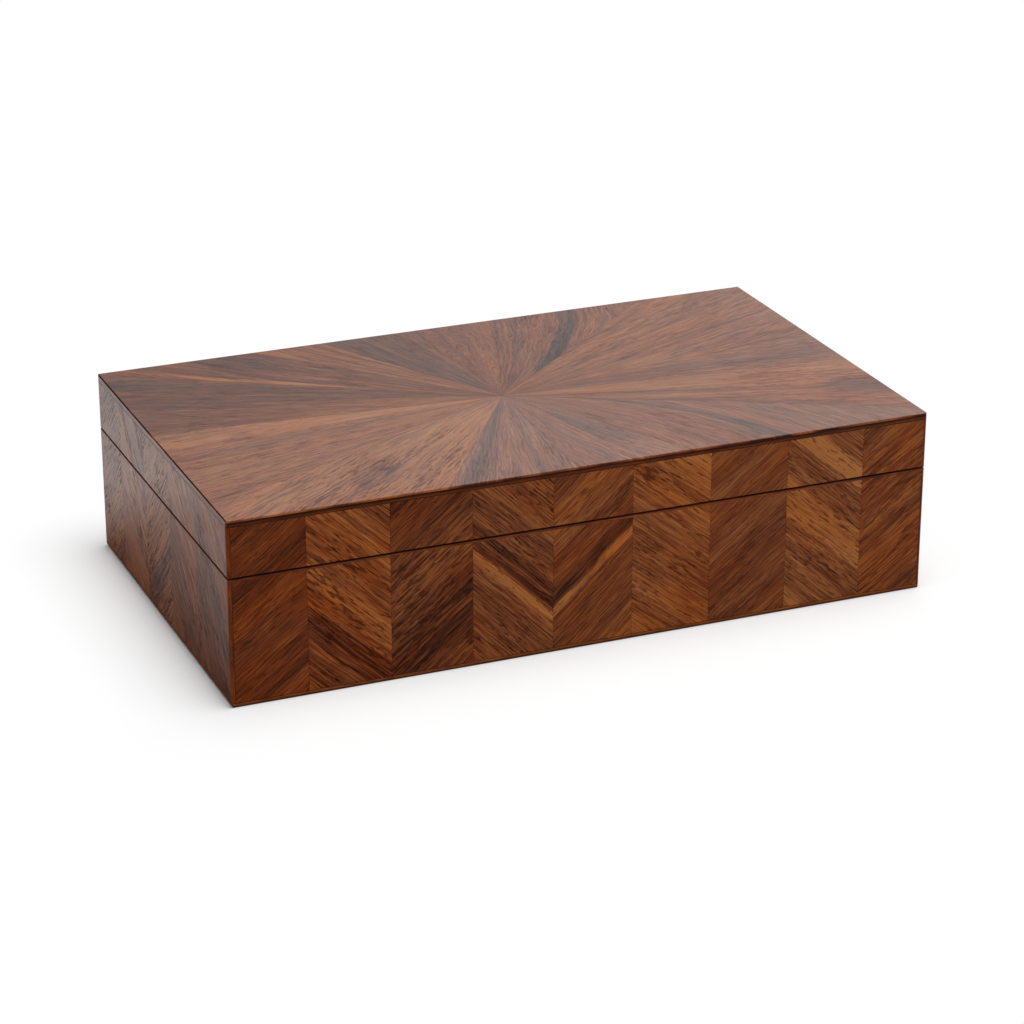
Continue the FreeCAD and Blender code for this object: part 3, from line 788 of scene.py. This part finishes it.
# felt linings and the baize below, cut to their spaces and glued down
feltLook = {"dark": (0.055, 0.006, 0.009, 1), "bright": (0.15, 0.018, 0.024, 1)}
baizeLook = {"dark": (0.010, 0.008, 0.007, 1), "bright": (0.040, 0.033, 0.028, 1)}
clothShape = {"thickness": 0.8 * mm, "cell": 6 * mm, "unevenness": 0.06 * mm, "edge": 0.1 * mm,
              "waves": (143, 171, 61, 87)}
clothNap = {"fibres": (1.6, 1.6, 2.0, 5.0, 0.7), "tufts": (0.45, 0.70, 4.0, 4.0, 0.7),
            "brushed": (0.02, 0.035, 6.0, 2.0, 0.5), "shares": (0.40, 0.45, 0.15), "range": (0.38, 0.62),
            "relief": 0.8, "reliefDepth": 0.4 * mm, "roughness": 0.95, "sheen": 0.08, "sheenRoughness": 0.6}


def clothMaterial(name, look):
    material, tree, shader = newMaterial(name)
    place = placeInMm(tree)
    nap = 0.0
    for noise, share in zip(("fibres", "tufts", "brushed"), clothNap["shares"]):
        nap = plus(tree, nap, times(tree, grainNoise(tree, place, clothNap[noise]), share))
    colour = blendColours(tree, remap(tree, nap, *clothNap["range"]), look["dark"], look["bright"])
    bump = put(tree, "Bump", {"Height": nap, "Strength": clothNap["relief"],
                              "Distance": clothNap["reliefDepth"]})
    connect(tree, shader.inputs, {"Base Color": colour, "Normal": bump.outputs[0],
                                  "Roughness": clothNap["roughness"], "Sheen Weight": clothNap["sheen"],
                                  "Sheen Roughness": clothNap["sheenRoughness"]})
    return material


# the cloth lies on one face of its space, with its nap towards facing
def makeCloth(name, node, body, facing, material):
    low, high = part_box(node)
    size = high - low
    middle = (low + high) / 2
    cloth = bmesh.new()
    bmesh.ops.create_grid(cloth, x_segments=round(size.x / clothShape["cell"]),
                          y_segments=round(size.y / clothShape["cell"]), size=0.5)
    bmesh.ops.scale(cloth, vec=(size.x, size.y, 1), verts=cloth.verts)
    waveX, waveY, slantX, slantY = clothShape["waves"]
    for vert in cloth.verts:
        x, y, _ = vert.co
        swell = math.sin(x * waveX) * math.sin(y * waveY) + math.sin(x * slantX + y * slantY)
        vert.co.z = swell / 2 * clothShape["unevenness"]
    face = high.z - clothShape["edge"] if facing > 0 else low.z + clothShape["edge"]
    bmesh.ops.translate(cloth, vec=(middle.x, middle.y, face), verts=cloth.verts)
    if facing < 0:
        bmesh.ops.reverse_faces(cloth, faces=cloth.faces)
    mesh = bpy.data.meshes.new(name)
    cloth.to_mesh(mesh)
    cloth.free()
    mesh.materials.append(material)
    piece = addObject(name, mesh)
    solid = piece.modifiers.new("thickness", "SOLIDIFY")
    solid.thickness = clothShape["thickness"]
    solid.offset = -1
    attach(piece, body)
    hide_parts(node)


felt = clothMaterial("liningFelt", feltLook)
baize = clothMaterial("undersideBaize", baizeLook)
makeCloth("floor_felt", "base_floor_lining", "base", 1, felt)
makeCloth("ceiling_felt", "lid_ceiling_lining", "lid", -1, felt)
makeCloth("baize_sheet", "underside_baize", "base", -1, baize)
print("cloth laid")

# camera at the photograph's angle; sensor and lens in mm, angles in degrees
cameraPlace = {"position": (-0.4912, -1.1878, 0.5590), "sensor": 36, "lens": 114.42, "yaw": 22.58,
               "pitch": 22.548}
cameraData = bpy.data.cameras.new("camera")
cameraData.sensor_width = cameraPlace["sensor"]
cameraData.lens = cameraPlace["lens"]
camera = addObject("camera", cameraData)
camera.location = cameraPlace["position"]
camera.rotation_euler = (math.radians(90 - cameraPlace["pitch"]), 0, math.radians(-cameraPlace["yaw"]))
bpy.context.scene.camera = camera

# pale floor: white to the eye, with the box's shadow kept close to it
floorLook = {"size": 8.0, "cells": 4, "bounce": (0.97, 0.74), "bounceReach": 0.25, "footInset": 0.0016,
             "frontWhite": 0.27, "frontReach": 0.07, "frontLitLine": 0.003, "frontLitLineWhite": (0.85, 0.2),
             "sideFrom": 0.0012, "sideReach": 0.045,
             "mirrorFrom": -0.004, "mirrorTo": 0.078, "mirrorGlow": 0.64, "mirrorRight": 1.6}
floorShape = bmesh.new()
bmesh.ops.create_grid(floorShape, x_segments=floorLook["cells"], y_segments=floorLook["cells"],
                      size=floorLook["size"] / 2)
floorMesh = bpy.data.meshes.new("floor")
floorShape.to_mesh(floorMesh)
floorShape.free()
floor = addObject("floor", floorMesh)


def floorMaterial():
    material, tree, surface = emptyMaterial("paleFloor")
    path = put(tree, "LightPath").outputs
    part = splitAxes(tree, put(tree, "TexCoord").outputs["Object"])
    front = cadLow.y + floorLook["footInset"]
    beyondX = calc(tree, "MAXIMUM", minus(tree, calc(tree, "ABSOLUTE", part["X"]), cadHigh.x), 0.0)
    beyondY = calc(tree, "MAXIMUM", plus(tree, calc(tree, "ABSOLUTE", part["Y"]), front), 0.0)
    away = distanceOf(tree, beyondX, beyondY)
    seen = calc(tree, "MAXIMUM", path["Is Camera Ray"], path["Is Transmission Ray"])
    # for light bounced back the floor is paler near the box: painted light on the box's lower sides
    bounce = remap(tree, away, 0.0, floorLook["bounceReach"], *floorLook["bounce"])
    plain = put(tree, "BsdfDiffuse", {"Color": between(tree, seen, bounce, 1.0)})
    # in reflections the floor glows less near the box and more to the right: a painted reflection, with painted
    # shade low on the box's sides
    paintedReflection = remap(tree, away, floorLook["mirrorFrom"], floorLook["mirrorTo"], 0.0, floorLook["mirrorGlow"])
    paintedReflection = times(tree, paintedReflection, remap(tree, part["X"], cadLow.x, 2 * cadHigh.x, 1.0, floorLook["mirrorRight"]))
    white = put(tree, "Emission", {"Color": (1, 1, 1, 1),
                                   "Strength": between(tree, path["Is Glossy Ray"], 1.0, paintedReflection)})
    inFront = calc(tree, "MAXIMUM", minus(tree, front, part["Y"]), 0.0)
    notZero = 0.1 * mm
    toFront = calc(tree, "DIVIDE", inFront, plus(tree, plus(tree, inFront, beyondX), notZero))
    # in front the white glow lifts the contact shadow, and a 3 mm line along the front edge glows nearly white:
    # painted light
    frontOpen = remap(tree, away, 0.0, floorLook["frontReach"], floorLook["frontWhite"], 1.0)
    paintedLightLine = remap(tree, away, 0.0, floorLook["frontLitLine"], *floorLook["frontLitLineWhite"])
    sideOpen = calc(tree, "SQRT", remap(tree, away, floorLook["sideFrom"], floorLook["sideReach"]))
    openness = between(tree, toFront, sideOpen, calc(tree, "MAXIMUM", frontOpen, paintedLightLine))
    amount = calc(tree, "MAXIMUM", times(tree, seen, openness), path["Is Glossy Ray"])
    mixed = put(tree, "MixShader", {0: amount, 1: plain.outputs[0], 2: white.outputs[0]})
    tree.links.new(mixed.outputs[0], surface)
    return material


floorMesh.materials.append(floorMaterial())

# soft studio light, a little brighter on the right in the shine of the varnish
worldLight = {"level": 0.25, "shineAcross": (-0.10, 0.50), "shine": (0.10, 1.0)}
world = bpy.data.worlds.new("studio")
bpy.context.scene.world = world
world.use_nodes = True
worldTree = world.node_tree
worldTree.nodes.clear()
worldPath = put(worldTree, "LightPath").outputs
clearView = calc(worldTree, "MAXIMUM", worldPath["Is Camera Ray"], worldPath["Is Transmission Ray"])
sideways = splitAxes(worldTree, put(worldTree, "TexCoord").outputs["Generated"])["X"]
shine = remap(worldTree, sideways, *worldLight["shineAcross"], *worldLight["shine"])
plainLevel = between(worldTree, clearView, worldLight["level"], 1.0)
around = put(worldTree, "Background", {
    "Color": (1, 1, 1, 1), "Strength": between(worldTree, worldPath["Is Glossy Ray"], plainLevel, shine)})
put(worldTree, "OutputWorld", {"Surface": around.outputs[0]})

softboxes = {
    "overheadSoftbox": {"position": (0.40, -0.38, 1.15), "aim": (0.30, -0.30, 0.0), "size": 1.6, "watts": 18.2},
    "frontFill": {"position": (-0.50, -1.60, 0.80), "aim": (0.0, 0.0, 0.04), "size": 0.8, "watts": 1.4},
    "leftFill": {"position": (-1.50, -0.15, 0.28), "aim": (-0.15, 0.0, 0.04), "size": 0.8, "watts": 7.1},
}
for name, box in softboxes.items():
    data = bpy.data.lights.new(name, "AREA")
    data.shape = "SQUARE"
    data.size = box["size"]
    data.energy = box["watts"]
    lamp = addObject(name, data)
    lamp.location = box["position"]
    lamp.rotation_euler = (Vector(box["aim"]) - lamp.location).to_track_quat("-Z", "Y").to_euler()
bpy.context.scene.view_settings.view_transform = "Standard"
print("camera, floor and light ready")
